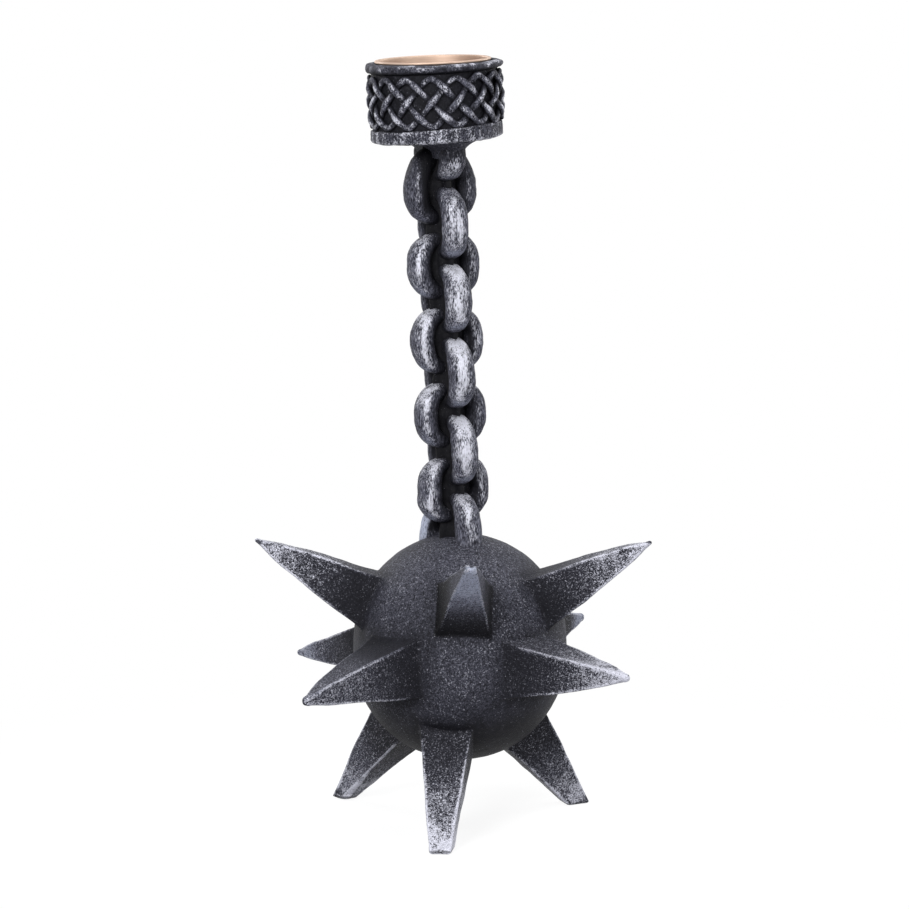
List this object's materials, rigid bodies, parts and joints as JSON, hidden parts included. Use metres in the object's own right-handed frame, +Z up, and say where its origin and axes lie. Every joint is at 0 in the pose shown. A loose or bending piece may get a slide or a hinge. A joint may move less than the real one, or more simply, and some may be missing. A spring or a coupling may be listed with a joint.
{
  "type": "candle holder",
  "caption": "Tealight holder shaped like a spiked flail: a ball that stands on its spikes, a stiff chain for a stem and a drum cup with a plaited band and a lift-out insert.",
  "frame": {"origin": "on the table, under the middle of the space that the spikes take up", "axes": "+Z up, away from the table; -Y towards the viewer of the picture, where one foot stands; +X to the viewer's right"},
  "size_m": [0.1438, 0.1477, 0.2809],
  "materials": {
    "dark_resin": "cast resin painted near-black, finely stippled with grey",
    "dry_brushed_resin": "cast resin painted near-black and dry-brushed with silver on its high parts",
    "brass": "bright pressed sheet"
  },
  "bodies": {
    "holder": {"ball": "dark_resin", "spike_upper_left": "dry_brushed_resin", "spike_upper_right": "dry_brushed_resin", "spike_upper_front": "dry_brushed_resin", "spike_upper_back": "dry_brushed_resin", "spike_middle_front_left": "dry_brushed_resin", "spike_middle_front_right": "dry_brushed_resin", "spike_middle_back_left": "dry_brushed_resin", "spike_middle_back_right": "dry_brushed_resin", "foot_front": "dry_brushed_resin", "foot_back_left": "dry_brushed_resin", "foot_back_right": "dry_brushed_resin", "ball_staple": "dry_brushed_resin", "link_1": "dry_brushed_resin", "link_2": "dry_brushed_resin", "link_3": "dry_brushed_resin", "link_4": "dry_brushed_resin", "link_5": "dry_brushed_resin", "link_6": "dry_brushed_resin", "link_7": "dry_brushed_resin", "link_8": "dry_brushed_resin", "link_9": "dry_brushed_resin", "cup_staple": "dry_brushed_resin", "stem_core": "dark_resin", "cup_neck": "dark_resin", "cup_drum": "dark_resin", "base_band": "dry_brushed_resin", "plait_band": "dry_brushed_resin", "rim_moulding": "dry_brushed_resin"},
    "insert": {"candle_insert": "brass"}
  },
  "joints": [
    {"name": "insert_lift", "type": "slide", "parent": "holder", "child": "insert", "axis": [-0.0576, 0, 0.9983], "range_m": [0, 0.025]}
  ]
}
